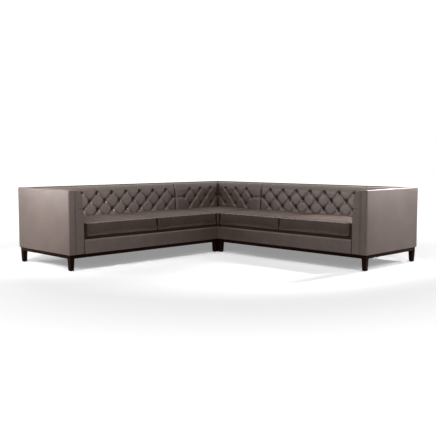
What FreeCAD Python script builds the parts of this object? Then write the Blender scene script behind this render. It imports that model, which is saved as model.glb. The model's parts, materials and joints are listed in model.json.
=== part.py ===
import FreeCAD, Part
import math
import os
from FreeCAD import Vector

os.makedirs("parts", exist_ok=True)

# Corner sofa in three modules, millimetres, +Z up. The origin is on the floor, in the middle of the
# square that the sofa fills. Everything is drawn in branch coordinates: s runs along a branch from the
# outer corner, t runs forward from its outer back, z runs up. The left and right branches are the same
# drawing, one turned and one mirrored.

# Overall layout
module_depth = 940.0
branch_length = 2917.0
total_height = 773.0
module_gap = 2.0
glide_height = 4.0
plinth_bottom = 119.0
upholstery_bottom = 155.0

# Outer shell: leather and wadding over boards
cover_thickness = 6.0
shell_thickness = 58.0
shell_clearance = 2.0
shell_edge_radius = 5.0
arm_edge_radius = 12.0

# Timber
plinth_inset = 10.0
plinth_width = 70.0
rail_thickness = 30.0
seam_rail_setback = 8.0
seat_rail_top = 282.0
corner_block_leg = 70.0
corner_block_height = 70.0
middle_rail_count = 2
post_width = 60.0
frame_rail_height = 60.0
tack_rail_bottom = 300.0
tack_rail_height = 40.0
back_post_spacing = 480.0

# Legs and their fixings
leg_top_side = 50.0
leg_foot_side = 40.0
glide_diameter = 24.0
bolt_diameter = 8.0
bolt_bore_diameter = 8.5
bolt_bore_in_leg = 36.0
bolt_end_clearance = 1.0
nut_barrel_diameter = 11.0
nut_barrel_length = 12.0
nut_flange_diameter = 22.0
nut_flange_thickness = 2.0
nut_bore_play = 0.5

# Seat suspension
dust_cover_thickness = 1.0
spring_thickness = 4.0
spring_band = 8.0
spring_half_width = 22.0
spring_step = 26.0
spring_spacing = 150.0
spring_end_margin = 15.0
deck_thickness = 32.0
webbing_thickness = 2.0
webbing_width = 50.0
webbing_spacing = 190.0

# Front rail cover
rail_cover_thickness = 15.0
rail_cover_top = 292.0
rail_cover_lip = 6.0
rail_cover_return = 18.0

# Inside pads
back_pad_depth = 227.0
arm_total_width = 172.0
pad_lean_start = 450.0
pad_roll_height = 91.0
pad_lean = 14.0
pad_roll = 59.0
pad_gap = 2.0
mitre_gap = 1.0
pad_end_draw = 6.0

# Tufting: rows count down from the top, and the odd rows and even rows are staggered
row_spacing = 93.5
upper_row_drop = 75.0
tuft_depth = 38.0
tuft_floor = 24.0
crossing_depth = 14.0
crossing_crest = 3.0
flat_crest = 0.0
edge_crest = 2.0
bulge_fullness = 0.15
foot_crease_share = 0.2
pleat_end_depth = 12.0
end_pitch = 198.0
end_tuft_offset = 49.0
end_last_tuft_margin = 60.0
corner_pitch = 181.4
corner_tuft_offset = 19.0
corner_last_tuft_margin = 130.0
arm_pitch = 181.0
arm_tuft_offset = 90.0
arm_last_tuft_margin = 50.0
button_radius = 10.5
button_rim = 2.5
button_height = 7.0

# Seat cushions
cushion_height = 128.0
cushion_front_inset = 15.0
cushion_back_gap = 8.0
cushion_arm_gap = 17.0
cushion_side_gap = 2.0
cushion_split = 1820.0
cushion_top_radius = 14.0
cushion_bottom_radius = 14.0
cushion_end_radius = 12.0
cushion_arm_radius = 45.0
cushion_crown = 14.0
cushion_end_crown = 3.0
cushion_front_bulge = 3.0
cushion_end_bulge = 0.9
cushion_draw_in = 4.0

# Module connectors
connector_plate = 3.0
connector_length = 60.0
connector_height = 70.0
connector_bottom = 180.0
connector_play = 1.5
connector_tongue_overlap = 30.0
connector_places = (220.0, 720.0)

# Worked-out places that several pieces share
half_side = branch_length / 2
end_start = module_depth + module_gap / 2
corner_end = module_depth - module_gap / 2
arm_inner = branch_length - arm_total_width
arm_shell_inner = branch_length - shell_thickness
shell_top = total_height - cover_thickness
board_outer = cover_thickness + shell_clearance
board_top = shell_top - shell_clearance
pad_top = board_top
pad_roll_start = pad_top - pad_roll_height
frame_bottom = upholstery_bottom + dust_cover_thickness
end_rail_face = end_start + seam_rail_setback
corner_rail_face = corner_end - seam_rail_setback
front_board = module_depth - rail_cover_thickness
pad_back = shell_thickness + webbing_thickness
deck_bottom = seat_rail_top + spring_thickness
deck_top = deck_bottom + deck_thickness
leg_height = plinth_bottom
plinth_joint = module_depth - plinth_inset
plinth_start = plinth_joint + module_gap / 2
plinth_front = module_depth - plinth_inset
plinth_end = branch_length - plinth_inset
tuft_half = tuft_floor / 2
row_heights = [pad_top - upper_row_drop - row * row_spacing for row in range(4)]


# Basic shapes

def board(s0, s1, t0, t1, z0, z1):
    return Part.makeBox(s1 - s0, t1 - t0, z1 - z0, Vector(s0, t0, z0))


def disc(s, t, z, diameter, height):
    return Part.makeCylinder(diameter / 2, height, Vector(s, t, z))


def plan_prism(points, z0, z1):
    corners = [Vector(s, t, z0) for s, t in points]
    outline = Part.makePolygon(corners + corners[:1])
    return Part.Face(outline).extrude(Vector(0, 0, z1 - z0))


def side_prism(points, t0, t1):
    corners = [Vector(s, t0, z) for s, z in points]
    outline = Part.makePolygon(corners + corners[:1])
    return Part.Face(outline).extrude(Vector(0, t1 - t0, 0))


def arc_or_line(start, middle, end):
    chord = end - start
    rise = (middle - start).cross(chord).Length / max(chord.Length, 1e-9)
    if rise < 0.05:
        return Part.LineSegment(start, end).toShape()
    return Part.Arc(start, middle, end).toShape()


def quarter_turn(start, end, corner):
    # The middle of a quarter circle between start and end whose tangents meet at corner
    chord_middle = (start + end) * 0.5
    toward = corner - chord_middle
    middle = chord_middle + toward * (math.sqrt(2) - 1)
    return Part.Arc(start, middle, end).toShape()


# Placing a drawing in the sofa

def on_right(shape):
    placed = shape.mirror(Vector(0, 0, 0), Vector(0, 1, 0))
    placed.translate(Vector(-half_side, half_side, 0))
    return placed


def on_left(shape):
    placed = shape.copy()
    placed.rotate(Vector(0, 0, 0), Vector(0, 0, 1), -90)
    placed.translate(Vector(-half_side, half_side, 0))
    return placed


def group(solids):
    return Part.makeCompound(solids)


def save(name, shape):
    shape.exportStep("parts/" + name + ".step")


sides = {"left": on_left, "right": on_right}


# Legs, glides, bolts and tee nuts: the legs stand flush with the base strips' outer faces

seam_leg_centre = plinth_start + leg_top_side / 2
arm_leg_centre = plinth_end - leg_top_side / 2
front_leg_centre = plinth_front - leg_top_side / 2
rear_leg_centre = plinth_inset + leg_top_side / 2
inner_corner_leg_centre = plinth_joint - leg_top_side / 2

leg_places = {
    "seam_front_leg": (seam_leg_centre, front_leg_centre),
    "seam_rear_leg": (seam_leg_centre, rear_leg_centre),
    "arm_front_leg": (arm_leg_centre, front_leg_centre),
    "arm_rear_leg": (arm_leg_centre, rear_leg_centre),
}
corner_leg_places = [
    (rear_leg_centre, rear_leg_centre),
    (inner_corner_leg_centre, inner_corner_leg_centre),
]


def square(s, t, side, z):
    half = side / 2
    ring = [(-half, -half), (half, -half), (half, half), (-half, half)]
    corners = [Vector(s + ds, t + dt, z) for ds, dt in ring]
    return Part.makePolygon(corners + corners[:1])


def leg(s, t):
    foot = square(s, t, leg_foot_side, glide_height)
    head = square(s, t, leg_top_side, leg_height)
    body = Part.makeLoft([foot, head], True, True)
    bore = disc(s, t, leg_height - bolt_bore_in_leg, bolt_bore_diameter, bolt_bore_in_leg)
    return body.cut(bore)


def leg_bolt(s, t):
    low = leg_height - bolt_bore_in_leg + bolt_end_clearance
    high = upholstery_bottom - bolt_end_clearance
    return disc(s, t, low, bolt_diameter, high - low)


def leg_nut(s, t):
    flange_bottom = upholstery_bottom - nut_flange_thickness
    barrel = disc(s, t, flange_bottom - nut_barrel_length, nut_barrel_diameter, nut_barrel_length)
    flange = disc(s, t, flange_bottom, nut_flange_diameter, nut_flange_thickness)
    bore_length = nut_barrel_length + nut_flange_thickness
    bore = disc(s, t, flange_bottom - nut_barrel_length, bolt_bore_diameter, bore_length)
    return barrel.fuse(flange).cut(bore).removeSplitter()


def nut_pocket(s, t):
    flange_bottom = upholstery_bottom - nut_flange_thickness
    barrel_bottom = flange_bottom - nut_barrel_length
    through = disc(s, t, plinth_bottom, bolt_bore_diameter, upholstery_bottom - plinth_bottom)
    barrel = disc(s, t, barrel_bottom, nut_barrel_diameter + nut_bore_play, nut_barrel_length)
    flange_diameter = nut_flange_diameter + nut_bore_play
    flange = disc(s, t, flange_bottom, flange_diameter, nut_flange_thickness)
    return through.fuse(barrel).fuse(flange)


def glide(s, t):
    return disc(s, t, 0, glide_diameter, glide_height)


# Base strips: four boards under each module

def plinth(s0, s1, t0, t1, bolts):
    inner_t0 = t0 + plinth_width
    inner_t1 = t1 - plinth_width
    low = plinth_bottom
    high = upholstery_bottom
    boards = [
        board(s0, s1, t0, inner_t0, low, high),
        board(s0, s1, inner_t1, t1, low, high),
        board(s0, s0 + plinth_width, inner_t0, inner_t1, low, high),
        board(s1 - plinth_width, s1, inner_t0, inner_t1, low, high),
    ]
    for s, t in bolts:
        pocket = nut_pocket(s, t)
        boards = [piece.cut(pocket) for piece in boards]
    return group(boards)


# Seat frames

def corner_block(s, t, toward_s, toward_t):
    points = [(s, t), (s + toward_s * corner_block_leg, t), (s, t + toward_t * corner_block_leg)]
    return plan_prism(points, seat_rail_top - corner_block_height, seat_rail_top)


def seat_frame(s0, s1, t0, t1, middle_rails):
    low = frame_bottom
    high = seat_rail_top
    in_t0 = t0 + rail_thickness
    in_t1 = t1 - rail_thickness
    in_s0 = s0 + rail_thickness
    in_s1 = s1 - rail_thickness
    pieces = [
        board(s0, s1, t0, in_t0, low, high),
        board(s0, s1, in_t1, t1, low, high),
        board(s0, in_s0, in_t0, in_t1, low, high),
        board(in_s1, s1, in_t0, in_t1, low, high),
        corner_block(in_s0, in_t0, 1, 1),
        corner_block(in_s1, in_t0, -1, 1),
        corner_block(in_s0, in_t1, 1, -1),
        corner_block(in_s1, in_t1, -1, -1),
    ]
    for number in range(1, middle_rails + 1):
        middle = s0 + (s1 - s0) * number / (middle_rails + 1)
        half = rail_thickness / 2
        pieces.append(board(middle - half, middle + half, in_t0, in_t1, low, high))
    return group(pieces)


# Upright frames inside the backs and arms, drawn along s, with their boards between the outer cover and
# the shell's inner face

def upright_frame(s0, s1):
    t0 = board_outer
    t1 = shell_thickness
    rail_bottom = board_top - frame_rail_height
    bays = max(1, round((s1 - s0 - post_width) / back_post_spacing))
    step = (s1 - s0 - post_width) / bays
    starts = [s0 + bay * step for bay in range(bays + 1)]
    pieces = [board(s0, s1, t0, t1, rail_bottom, board_top)]
    for start in starts:
        pieces.append(board(start, start + post_width, t0, t1, frame_bottom, rail_bottom))
    for start in starts[:-1]:
        left = start + post_width
        right = start + step
        low_rail_top = frame_bottom + frame_rail_height
        tack_rail_top = tack_rail_bottom + tack_rail_height
        pieces.append(board(left, right, t0, t1, frame_bottom, low_rail_top))
        pieces.append(board(left, right, t0, t1, tack_rail_bottom, tack_rail_top))
    return pieces


def webbing(s0, s1):
    low = tack_rail_bottom + tack_rail_height / 4
    high = board_top - frame_rail_height / 2
    count = max(1, int((s1 - s0 - webbing_width) / webbing_spacing))
    step = (s1 - s0 - webbing_width) / count
    starts = [s0 + number * step for number in range(count + 1)]
    return [board(s, s + webbing_width, shell_thickness, pad_back, low, high) for s in starts]


# Seat springs and decks

def sinuous_spring(s, t0, t1):
    count = int((t1 - t0) / spring_step)
    near = []
    for number in range(count + 1):
        offset = spring_half_width if number % 2 else -spring_half_width
        near.append((s + offset - spring_band / 2, t0 + number * spring_step))
    far = [(bend_s + spring_band, bend_t) for bend_s, bend_t in reversed(near)]
    return plan_prism(near + far, seat_rail_top, deck_bottom)


def seat_springs(s0, s1, t0, t1):
    first = s0 + spring_half_width + spring_end_margin
    last = s1 - spring_half_width - spring_end_margin
    count = max(1, round((last - first) / spring_spacing))
    step = (last - first) / count
    low = t0 + spring_end_margin
    high = t1 - spring_end_margin
    return [sinuous_spring(first + number * step, low, high) for number in range(count + 1)]


# Outer covers

def back_cover_profile(s):
    radius = shell_edge_radius
    points = [
        Vector(s, 0, upholstery_bottom),
        Vector(s, 0, total_height - radius),
        Vector(s, radius, total_height),
        Vector(s, shell_thickness, total_height),
        Vector(s, shell_thickness, shell_top),
        Vector(s, cover_thickness, shell_top),
        Vector(s, cover_thickness, upholstery_bottom),
    ]
    edges = [Part.LineSegment(points[0], points[1]).toShape()]
    edges.append(quarter_turn(points[1], points[2], Vector(s, 0, total_height)))
    for start, end in zip(points[2:], points[3:] + points[:1]):
        edges.append(Part.LineSegment(start, end).toShape())
    return Part.Face(Part.Wire(edges))


def end_back_cover():
    capped = back_cover_profile(end_start).extrude(Vector(arm_shell_inner - end_start, 0, 0))
    tucked_end = branch_length - cover_thickness
    tucked = board(arm_shell_inner, tucked_end, 0, cover_thickness, upholstery_bottom, shell_top)
    return capped.fuse(tucked).removeSplitter()


def corner_back_cover_half():
    whole = back_cover_profile(0).extrude(Vector(corner_end, 0, 0))
    points = [(0, 0), (corner_end, 0), (corner_end, shell_thickness), (shell_thickness, shell_thickness)]
    return whole.common(plan_prism(points, upholstery_bottom, total_height))


def outer_arm_cover():
    outside = board(arm_shell_inner, branch_length, 0, module_depth, upholstery_bottom, total_height)
    rounded = []
    for edge in outside.Edges:
        middle = edge.CenterOfMass
        outer_side = middle.x > branch_length - 1
        front = middle.y > module_depth - 1
        top = middle.z > total_height - 1
        if [outer_side, front, top].count(True) == 2:
            rounded.append(edge)
    outside = outside.makeFillet(arm_edge_radius, rounded)
    hollow = board(
        arm_shell_inner - 1,
        branch_length - cover_thickness,
        -1,
        module_depth - cover_thickness,
        upholstery_bottom - 1,
        shell_top,
    )
    return outside.cut(hollow)


def front_rail_cover():
    radius = rail_cover_thickness
    inner_top = rail_cover_top - rail_cover_lip
    lip_end = front_board - rail_cover_return
    points = [
        Vector(end_start, front_board, upholstery_bottom),
        Vector(end_start, module_depth, upholstery_bottom),
        Vector(end_start, module_depth, rail_cover_top - radius),
        Vector(end_start, front_board, rail_cover_top),
        Vector(end_start, lip_end, rail_cover_top),
        Vector(end_start, lip_end, inner_top),
        Vector(end_start, front_board, inner_top),
    ]
    edges = [
        Part.LineSegment(points[0], points[1]).toShape(),
        Part.LineSegment(points[1], points[2]).toShape(),
        quarter_turn(points[2], points[3], Vector(end_start, module_depth, rail_cover_top)),
    ]
    for start, end in zip(points[3:], points[4:] + points[:1]):
        edges.append(Part.LineSegment(start, end).toShape())
    return Part.Face(Part.Wire(edges)).extrude(Vector(arm_inner - end_start, 0, 0))


# Inside pads: the face leans back a little, then rolls over to the shell's top

def face_setback(z):
    if z <= pad_lean_start:
        return 0.0
    if z <= pad_roll_start:
        return pad_lean * (z - pad_lean_start) / (pad_roll_start - pad_lean_start)
    climb = min(1.0, (z - pad_roll_start) / (pad_top - pad_roll_start))
    return pad_lean + pad_roll * (1 - math.sqrt(1 - climb * climb))


# Above the upper row each crease is an upright pleat that fades out over the roll: at a share of the way
# from that row to the pad's top, this share of its depth is left
pleat_fade = ((0.4, 0.5), (0.7, 0.22), (0.9, 0.08), (1.0, 0.0))


# Each level of a tufted pad: its height, the row whose tufts it holds (0 for a level between rows),
# how deep its creases are, and how far its crests lie behind the face
def tuft_levels():
    odd = 1
    even = 2
    half = tuft_half
    one, two, three, four = row_heights
    crossing = crossing_depth
    levels = [(deck_top, even, four, tuft_depth * foot_crease_share, flat_crest)]
    levels += [(four + shift, even, four, tuft_depth, flat_crest) for shift in (-half, half)]
    levels.append(((four + three) / 2, 0, (four + three) / 2, crossing, crossing_crest))
    levels += [(three + shift, odd, three, tuft_depth, flat_crest) for shift in (-half, half)]
    levels.append(((three + two) / 2, 0, (three + two) / 2, crossing, crossing_crest))
    levels += [(two + shift, even, two, tuft_depth, flat_crest) for shift in (-half, half)]
    levels.append(((two + one) / 2, 0, (two + one) / 2, crossing, crossing_crest))
    levels += [(one + shift, odd, one, tuft_depth, flat_crest) for shift in (-half, half)]
    rise = pad_top - one - half
    for share, left in pleat_fade:
        z = one + half + rise * share
        levels.append((z, odd, z, tuft_depth * left, flat_crest))
    return levels


# A tufted pad drawn in (along, depth, z): tufts alternate between the even rows and the odd rows, even first.
# start_line and end_line give where the pad begins and ends at a height and a depth.
def tufted_pad(tufts, back_depth, face_depth, start_line, end_line, flat_from, to_vector):
    sections = []
    for z, pinned, crease_height, crease, crest in tuft_levels():
        face = face_depth - face_setback(z)
        floor = face_depth - face_setback(crease_height) - crease
        pinned_parity = None if pinned == 0 else (0 if pinned == 2 else 1)
        bounds = []
        for number in range(len(tufts) + 1):
            before = tufts[number - 1] + tuft_half if number > 0 else None
            after = tufts[number] - tuft_half if number < len(tufts) else None
            depth = floor
            if before is None or after is None:
                along = after if before is None else before
                end_tuft = 0 if before is None else len(tufts) - 1
                if pinned_parity is None:
                    depth = face - (crease + crest) / 2
                elif end_tuft % 2 != pinned_parity:
                    depth = face - min(crease, edge_crest)
            elif pinned_parity is None:
                along = (before + after) / 2
            elif (number - 1) % 2 == pinned_parity:
                along = before
            else:
                along = after
            bounds.append((along, depth))
        first_pinned = pinned_parity == 0
        last_pinned = pinned_parity == (len(tufts) - 1) % 2
        start_face = face - min(crease, pleat_end_depth if first_pinned else pad_end_draw)
        end_face = face - min(crease, pleat_end_depth if last_pinned else pad_end_draw)
        path = [(start_line(z, start_face), start_face)] + bounds
        if flat_from is not None:
            path.append((flat_from, face))
            end_face = face
        path.append((end_line(z, end_face), end_face))
        ring = [to_vector(start_line(z, back_depth), back_depth, z)]
        ring += [to_vector(along, depth, z) for along, depth in path]
        ring.append(to_vector(end_line(z, back_depth), back_depth, z))
        edges = [Part.LineSegment(ring[0], ring[1]).toShape()]
        for number in range(len(path) - 1):
            along0, depth0 = path[number]
            along1, depth1 = path[number + 1]
            tuft = number - 1
            is_bulge = 0 <= tuft < len(tufts) and tuft % 2 != pinned_parity
            middle_depth = (depth0 + depth1) / 2
            if is_bulge:
                middle_depth = face - crest - abs(depth0 - depth1) * bulge_fullness
            middle = to_vector((along0 + along1) / 2, middle_depth, z)
            edges.append(arc_or_line(ring[number + 1], middle, ring[number + 2]))
        edges.append(Part.LineSegment(ring[-2], ring[-1]).toShape())
        edges.append(Part.LineSegment(ring[-1], ring[0]).toShape())
        sections.append(Part.Wire(edges))
    return Part.makeLoft(sections, True, True)


def tuft_line(first, pitch, last_limit):
    count = int((last_limit - first) / (pitch / 2)) + 1
    return [first + number * pitch / 2 for number in range(count)]


def back_vector(along, depth, z):
    return Vector(along, depth, z)


def arm_vector(along, depth, z):
    return Vector(branch_length - depth, along, z)


def button(along, depth, z, to_vector):
    # A dome, part of a ball, turned about the line square to the pad
    base = to_vector(along, depth, z)
    outward = to_vector(along, depth + 1, z) - base
    dome_height = button_height - button_rim
    ball = (button_radius * button_radius + dome_height * dome_height) / (2 * dome_height)
    half_angle = math.asin(button_radius / ball) / 2
    upward = Vector(0, 0, 1)
    rim_foot = base + upward * button_radius
    rim_top = rim_foot + outward * button_rim
    crown = base + outward * button_height
    ball_centre = crown - outward * ball
    shoulder = ball_centre + outward * (ball * math.cos(half_angle)) + upward * (ball * math.sin(half_angle))
    edges = [
        Part.LineSegment(base, rim_foot).toShape(),
        Part.LineSegment(rim_foot, rim_top).toShape(),
        Part.Arc(rim_top, shoulder, crown).toShape(),
        Part.LineSegment(crown, base).toShape(),
    ]
    return Part.Face(Part.Wire(edges)).revolve(base, outward, 360)


def button_rows(tufts, face_depth, to_vector):
    buttons = []
    for row, z in enumerate(row_heights[:3]):
        parity = 0 if row == 1 else 1
        depth = face_depth - face_setback(z) - tuft_depth
        for along in tufts[parity::2]:
            buttons.append(button(along, depth, z, to_vector))
    return buttons


end_tufts = tuft_line(end_start + end_tuft_offset, end_pitch, arm_inner - end_last_tuft_margin)
corner_first_tuft = back_pad_depth + corner_tuft_offset
corner_tufts = tuft_line(corner_first_tuft, corner_pitch, corner_end - corner_last_tuft_margin)
arm_first_tuft = back_pad_depth + arm_tuft_offset
arm_tufts = tuft_line(arm_first_tuft, arm_pitch, front_board - arm_last_tuft_margin)


def end_back_pad():
    flat_from = arm_inner - pad_gap
    return tufted_pad(
        end_tufts,
        pad_back,
        back_pad_depth,
        lambda z, depth: end_start,
        lambda z, depth: arm_shell_inner,
        flat_from,
        back_vector,
    )


def corner_back_pad():
    return tufted_pad(
        corner_tufts,
        pad_back,
        back_pad_depth,
        lambda z, depth: depth + mitre_gap,
        lambda z, depth: corner_end,
        None,
        back_vector,
    )


def arm_pad():
    return tufted_pad(
        arm_tufts,
        shell_thickness,
        arm_total_width,
        lambda z, depth: back_pad_depth - face_setback(z) + pad_gap,
        lambda z, depth: front_board,
        None,
        arm_vector,
    )


def arm_front_panel():
    def outline_point(z):
        return Vector(arm_inner + face_setback(z), front_board, z)

    lower = outline_point(upholstery_bottom)
    lean = outline_point(pad_lean_start)
    roll = outline_point(pad_roll_start)
    # The roll is two arcs, through points at shares of its height
    heights = [pad_roll_start + pad_roll_height * share for share in (0.5, 0.8, 0.95)]
    swell, shoulder, turn = [outline_point(z) for z in heights]
    crest = outline_point(pad_top)
    edges = [
        Part.LineSegment(lower, lean).toShape(),
        Part.LineSegment(lean, roll).toShape(),
        Part.Arc(roll, swell, shoulder).toShape(),
        Part.Arc(shoulder, turn, crest).toShape(),
    ]
    upper_outer = Vector(arm_shell_inner, front_board, pad_top)
    lower_outer = Vector(arm_shell_inner, front_board, upholstery_bottom)
    for start, end in ((crest, upper_outer), (upper_outer, lower_outer), (lower_outer, lower)):
        edges.append(Part.LineSegment(start, end).toShape())
    return Part.Face(Part.Wire(edges)).extrude(Vector(0, rail_cover_thickness, 0))


# Seat cushions: box cushions with a crowned top, a swelling front and rounded ends

def round_inset(distance, radius):
    if distance >= radius:
        return 0.0
    return radius - math.sqrt(radius * radius - (radius - distance) ** 2)


def cushion_section(s, t0, t1, lift, drop, crown, bulge):
    low = deck_top + lift
    high = deck_top + cushion_height - drop
    top = cushion_top_radius
    foot = cushion_bottom_radius
    middle_t = (t0 + t1) / 2
    middle_z = (low + foot + high - top) / 2

    def at(t, z):
        return Vector(s, t, z)

    return Part.Wire([
        Part.LineSegment(at(t0 + foot, low), at(t1 - foot, low)).toShape(),
        quarter_turn(at(t1 - foot, low), at(t1, low + foot), at(t1, low)),
        Part.Arc(at(t1, low + foot), at(t1 + bulge, middle_z), at(t1, high - top)).toShape(),
        quarter_turn(at(t1, high - top), at(t1 - top, high), at(t1, high)),
        Part.Arc(at(t1 - top, high), at(middle_t, high + crown), at(t0 + top, high)).toShape(),
        quarter_turn(at(t0 + top, high), at(t0, high - top), at(t0, high)),
        Part.Arc(at(t0, high - top), at(t0 - bulge, middle_z), at(t0, low + foot)).toShape(),
        quarter_turn(at(t0, low + foot), at(t0 + foot, low), at(t0, low)),
    ])


# Where a cushion's sections stand: at shares of the rounding at each end, and at shares of its length
rounding_shares = (0.0, 0.08, 0.3, 1.0)
length_shares = (0.25, 0.5, 0.75)


def seat_cushion(s0, s1, t0, t1, start_radius, end_radius):
    length = s1 - s0
    places = []
    for share in rounding_shares:
        places.append(s0 + share * start_radius)
        places.append(s1 - share * end_radius)
    for share in length_shares:
        places.append(s0 + share * length)
    sections = []
    for s in sorted(places):
        from_start = s - s0
        from_end = s1 - s
        front = round_inset(from_start, start_radius) + round_inset(from_end, end_radius)
        rear = round_inset(from_start, cushion_end_radius) + round_inset(from_end, cushion_end_radius)
        swell = 1 - (2 * from_start / length - 1) ** 2
        crown = cushion_end_crown + (cushion_crown - cushion_end_crown) * swell
        edge = min(from_start, from_end)
        drop = round_inset(edge, cushion_top_radius)
        lift = round_inset(edge, cushion_end_radius)
        bulge = cushion_end_bulge + (cushion_front_bulge - cushion_end_bulge) * swell
        draw = cushion_draw_in * swell
        sections.append(cushion_section(s, t0 + rear, t1 - front - draw, lift, drop, crown, bulge))
    return Part.makeLoft(sections, True, True)


cushion_back = back_pad_depth + cushion_back_gap
cushion_front = module_depth - cushion_front_inset
inner_cushion_end = cushion_split - cushion_side_gap / 2
outer_cushion_start = cushion_split + cushion_side_gap / 2
arm_cushion_end = arm_inner - cushion_arm_gap
seam_cushion_start = end_start + cushion_side_gap / 2
corner_cushion_end = corner_end - cushion_side_gap / 2


# Module connectors: a tongue on the end module drops behind a lip on the corner module

def connector_channel(t):
    plate = connector_plate
    wall = corner_rail_face
    lip = wall + plate + connector_play + plate + connector_play
    low = connector_bottom
    lip_top = low + plate + connector_tongue_overlap
    points = [
        (wall, low),
        (lip + plate, low),
        (lip + plate, lip_top),
        (lip, lip_top),
        (lip, low + plate),
        (wall + plate, low + plate),
        (wall + plate, low + connector_height),
        (wall, low + connector_height),
    ]
    half = connector_length / 2
    return side_prism(points, t - half, t + half)


def connector_hook(t):
    plate = connector_plate
    tongue = corner_rail_face + plate + connector_play
    wall = end_rail_face
    low = connector_bottom + plate + connector_play
    web_bottom = low + connector_tongue_overlap + connector_play
    web_top = web_bottom + plate
    points = [
        (tongue, low),
        (tongue + plate, low),
        (tongue + plate, web_bottom),
        (wall - plate, web_bottom),
        (wall - plate, low),
        (wall, low),
        (wall, connector_bottom + connector_height),
        (wall - plate, connector_bottom + connector_height),
        (wall - plate, web_top),
        (tongue, web_top),
    ]
    half = connector_length / 2
    return side_prism(points, t - half, t + half)


# End modules

end_leg_places = list(leg_places.values())
deck_front = front_board - rail_cover_return - shell_clearance
deck_end = arm_shell_inner - shell_clearance

end_pieces = {
    "plinth": plinth(plinth_start, plinth_end, plinth_inset, plinth_front, end_leg_places),
    "seat_frame": seat_frame(end_rail_face, arm_shell_inner, shell_thickness, front_board, middle_rail_count),
    "back_frame": group(upright_frame(end_rail_face, arm_shell_inner)),
    "back_webbing": group(webbing(end_rail_face + post_width / 2, arm_inner)),
    "seat_springs": group(seat_springs(end_rail_face, arm_inner, shell_thickness, front_board)),
    "seat_deck": board(end_rail_face, deck_end, pad_back, deck_front, deck_bottom, deck_top),
    "dust_cover": board(
        end_rail_face,
        branch_length - board_outer,
        board_outer,
        front_board - shell_clearance,
        upholstery_bottom,
        frame_bottom,
    ),
    "outer_back_cover": end_back_cover(),
    "outer_arm_cover": outer_arm_cover(),
    "arm_front_panel": arm_front_panel(),
    "front_rail_cover": front_rail_cover(),
    "inside_back_pad": end_back_pad(),
    "inside_arm_pad": arm_pad(),
    "tuft_buttons": group(
        button_rows(end_tufts, back_pad_depth, back_vector)
        + button_rows(arm_tufts, arm_total_width, arm_vector)
    ),
    "inner_seat_cushion": seat_cushion(
        seam_cushion_start,
        inner_cushion_end,
        cushion_back,
        cushion_front,
        cushion_end_radius,
        cushion_end_radius,
    ),
    "outer_seat_cushion": seat_cushion(
        outer_cushion_start,
        arm_cushion_end,
        cushion_back,
        cushion_front,
        cushion_end_radius,
        cushion_arm_radius,
    ),
}

# The arm's frame is the upright frame turned to run along t, against the inner face of the arm's shell
arm_frame = []
for piece in upright_frame(board_outer, module_depth - board_outer):
    turned = piece.copy()
    turned.rotate(Vector(0, 0, 0), Vector(0, 0, 1), 90)
    turned.translate(Vector(branch_length, 0, 0))
    arm_frame.append(turned)
end_pieces["arm_frame"] = group(arm_frame)

for name, (s, t) in leg_places.items():
    end_pieces[name] = leg(s, t)

for side, place in sides.items():
    for name, shape in end_pieces.items():
        save(side + "_" + name, place(shape))


# Corner module

corner_back_boards = upright_frame(shell_thickness, corner_rail_face)
corner_post = board(board_outer, shell_thickness, board_outer, shell_thickness, frame_bottom, board_top)
corner_straps = webbing(pad_back + webbing_width, corner_rail_face - webbing_width)
corner_buttons = button_rows(corner_tufts, back_pad_depth, back_vector)
corner_cover_half = corner_back_cover_half()
corner_pad = corner_back_pad()


def both_sides(solids):
    return group([on_right(solid) for solid in solids] + [on_left(solid) for solid in solids])


corner_plinth = plinth(plinth_inset, plinth_joint, plinth_inset, plinth_joint, corner_leg_places)
save("corner_plinth", on_left(corner_plinth))
save("corner_legs", on_left(group([leg(s, t) for s, t in corner_leg_places])))
corner_seat = seat_frame(shell_thickness, corner_rail_face, shell_thickness, corner_rail_face, 1)
save("corner_seat_frame", on_left(corner_seat))
save("corner_back_frame", group([on_left(corner_post), both_sides(corner_back_boards)]))
save("corner_back_webbing", both_sides(corner_straps))
corner_springs = seat_springs(shell_thickness, corner_rail_face, shell_thickness, corner_rail_face)
save("corner_seat_springs", on_left(group(corner_springs)))
corner_deck = board(pad_back, corner_rail_face, pad_back, corner_rail_face, deck_bottom, deck_top)
save("corner_seat_deck", on_left(corner_deck))
corner_cloth = board(
    board_outer,
    corner_rail_face,
    board_outer,
    corner_rail_face,
    upholstery_bottom,
    frame_bottom,
)
save("corner_dust_cover", on_left(corner_cloth))
save("corner_outer_back_cover", both_sides([corner_cover_half]))
save("corner_right_back_pad", on_right(corner_pad))
save("corner_left_back_pad", on_left(corner_pad))
save("corner_tuft_buttons", both_sides(corner_buttons))
corner_cushion = seat_cushion(
    cushion_back,
    corner_cushion_end,
    cushion_back,
    corner_cushion_end,
    cushion_end_radius,
    cushion_end_radius,
)
save("corner_seat_cushion", on_left(corner_cushion))


# Fixings, one group of each kind


def at_every_leg(fixing):
    ends = both_sides([fixing(s, t) for s, t in end_leg_places])
    corner = [on_left(fixing(s, t)) for s, t in corner_leg_places]
    return group([ends] + corner)


save("leg_bolts", at_every_leg(leg_bolt))
save("leg_nuts", at_every_leg(leg_nut))
save("leg_glides", at_every_leg(glide))
save("connector_channels", both_sides([connector_channel(t) for t in connector_places]))
save("connector_hooks", both_sides([connector_hook(t) for t in connector_places]))
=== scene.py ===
import json
import math
import random

import bmesh
import bpy
import numpy as np
from mathutils import Matrix, Vector


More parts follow.
